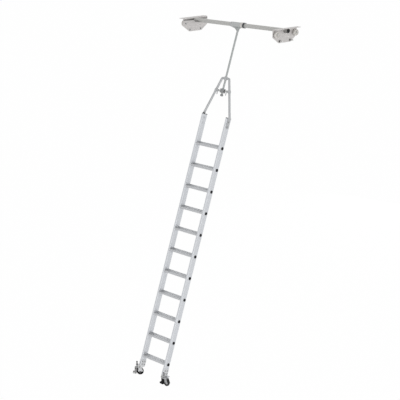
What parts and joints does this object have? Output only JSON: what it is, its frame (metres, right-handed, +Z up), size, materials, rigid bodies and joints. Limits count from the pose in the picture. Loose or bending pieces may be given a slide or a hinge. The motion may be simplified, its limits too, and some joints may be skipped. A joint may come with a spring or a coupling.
{
  "type": "shelf ladder",
  "caption": "Leaning aluminium shelf ladder on braked swivel castors, hung by a sliding, turning rod from a roller traverse that runs on two overhead rails across an aisle.",
  "frame": {"origin": "midway between the two rails, at the level of the surface that the rollers run on", "axes": "+X along the traverse to the climber's right, +Y along the rails away from the climber, +Z up"},
  "size_m": [1.608, 1.758, 4.1823],
  "materials": {
    "zinc_plate": "zinc-plated sheet, dull",
    "steel_tube": "galvanised tube, satin",
    "hanger_steel": "galvanised bar and tube, satin",
    "head_steel": "galvanised tube, satin",
    "bright_steel": "bright zinc",
    "zinc_fork": "bright zinc-plated pressing",
    "grey_cast": "grey casting",
    "dark_steel": "dark phosphate",
    "stile_alu": "mill-finished extrusion",
    "step_alu": "ribbed mill-finished extrusion",
    "black_plastic": "moulded, fine grain",
    "natural_nylon": "turned, satin",
    "wheel_grey": "moulded",
    "tyre_black": "rubber"
  },
  "bodies": {
    "traverse": {"traverse_tube": "steel_tube", "tube_end_caps": "black_plastic", "set_collars": "bright_steel", "thrust_ring": "black_plastic", "carriage_plate_left": "zinc_plate", "carriage_plate_right": "zinc_plate", "roller_axles": "bright_steel", "axle_spacers": "bright_steel", "retaining_pins": "bright_steel", "carriage_nuts": "grey_cast"},
    "hanger": {"tee_sleeve": "hanger_steel", "sleeve_bushes": "natural_nylon", "hanger_rod": "hanger_steel", "hanger_gussets": "hanger_steel", "rod_knob": "grey_cast"},
    "guide": {"guide_bush_upper": "natural_nylon", "guide_bush_lower": "natural_nylon"},
    "ladder": {"guide_sleeve": "head_steel", "head_tube_left": "head_steel", "head_tube_right": "head_steel", "lug_bolts": "bright_steel", "tube_clamps": "head_steel", "clamp_bolts": "bright_steel", "eye_bolts": "bright_steel", "lock_nuts": "dark_steel", "swivel_block": "grey_cast", "stile_left": "stile_alu", "stile_right": "stile_alu", "step_01": "step_alu", "step_02": "step_alu", "step_03": "step_alu", "step_04": "step_alu", "step_05": "step_alu", "step_06": "step_alu", "step_07": "step_alu", "step_08": "step_alu", "step_09": "step_alu", "step_10": "step_alu", "step_11": "step_alu", "step_screws": "bright_steel", "step_plugs": "black_plastic", "stile_caps": "black_plastic", "castor_shoes": "zinc_fork", "shoe_bolts": "bright_steel", "shoe_studs": "dark_steel", "swivel_heads": "dark_steel"},
    "roller_left_front": {"roller_left_front": "natural_nylon"},
    "roller_left_rear": {"roller_left_rear": "natural_nylon"},
    "roller_right_front": {"roller_right_front": "natural_nylon"},
    "roller_right_rear": {"roller_right_rear": "natural_nylon"},
    "castor_left": {"castor_fork_left": "zinc_fork", "castor_pins_left": "bright_steel"},
    "wheel_left": {"castor_wheel_left": "wheel_grey", "castor_tyre_left": "tyre_black"},
    "pedal_left": {"brake_pedal_left": "black_plastic"},
    "castor_right": {"castor_fork_right": "zinc_fork", "castor_pins_right": "bright_steel"},
    "wheel_right": {"castor_wheel_right": "wheel_grey", "castor_tyre_right": "tyre_black"},
    "pedal_right": {"brake_pedal_right": "black_plastic"}
  },
  "joints": [
    {"name": "roller_left_front_spin", "type": "hinge", "parent": "traverse", "child": "roller_left_front", "pos_m": [-0.763, -0.166, 0.0375], "axis": [1, 0, 0], "continuous": true},
    {"name": "roller_left_rear_spin", "type": "hinge", "parent": "traverse", "child": "roller_left_rear", "pos_m": [-0.763, 0.166, 0.0375], "axis": [1, 0, 0], "continuous": true},
    {"name": "roller_right_front_spin", "type": "hinge", "parent": "traverse", "child": "roller_right_front", "pos_m": [0.763, -0.166, 0.0375], "axis": [1, 0, 0], "continuous": true},
    {"name": "roller_right_rear_spin", "type": "hinge", "parent": "traverse", "child": "roller_right_rear", "pos_m": [0.763, 0.166, 0.0375], "axis": [1, 0, 0], "continuous": true},
    {"name": "hanger_tilt", "type": "hinge", "parent": "traverse", "child": "hanger", "pos_m": [0.012, 0, 0.071], "axis": [1, 0, 0], "range_deg": [-60, 0]},
    {"name": "guide_slide", "type": "slide", "parent": "hanger", "child": "guide", "axis": [0, 0.342, 0.9397], "range_m": [-0.0105, 0.55]},
    {"name": "ladder_turn", "type": "hinge", "parent": "guide", "child": "ladder", "pos_m": [0.012, -0.2784, -0.69391], "axis": [0, 0.342, 0.9397], "continuous": true},
    {"name": "castor_left_swivel", "type": "hinge", "parent": "ladder", "child": "castor_left", "pos_m": [-0.2235, -1.47111, -3.97083], "axis": [0, 0, 1], "continuous": true},
    {"name": "wheel_left_spin", "type": "hinge", "parent": "castor_left", "child": "wheel_left", "pos_m": [-0.21784, -1.46545, -4.03483], "axis": [-0.7071, 0.7071, 0], "continuous": true},
    {"name": "pedal_left_lift", "type": "hinge", "parent": "castor_left", "child": "pedal_left", "pos_m": [-0.2573, -1.5049, -3.99133], "axis": [-0.7071, 0.7071, 0], "range_deg": [0, 35]},
    {"name": "castor_right_swivel", "type": "hinge", "parent": "ladder", "child": "castor_right", "pos_m": [0.2475, -1.47111, -3.97083], "axis": [0, 0, 1], "continuous": true},
    {"name": "wheel_right_spin", "type": "hinge", "parent": "castor_right", "child": "wheel_right", "pos_m": [0.2555, -1.47111, -4.03483], "axis": [0, 1, 0], "continuous": true},
    {"name": "pedal_right_lift", "type": "hinge", "parent": "castor_right", "child": "pedal_right", "pos_m": [0.1997, -1.47111, -3.99133], "axis": [0, 1, 0], "range_deg": [0, 35]}
  ]
}
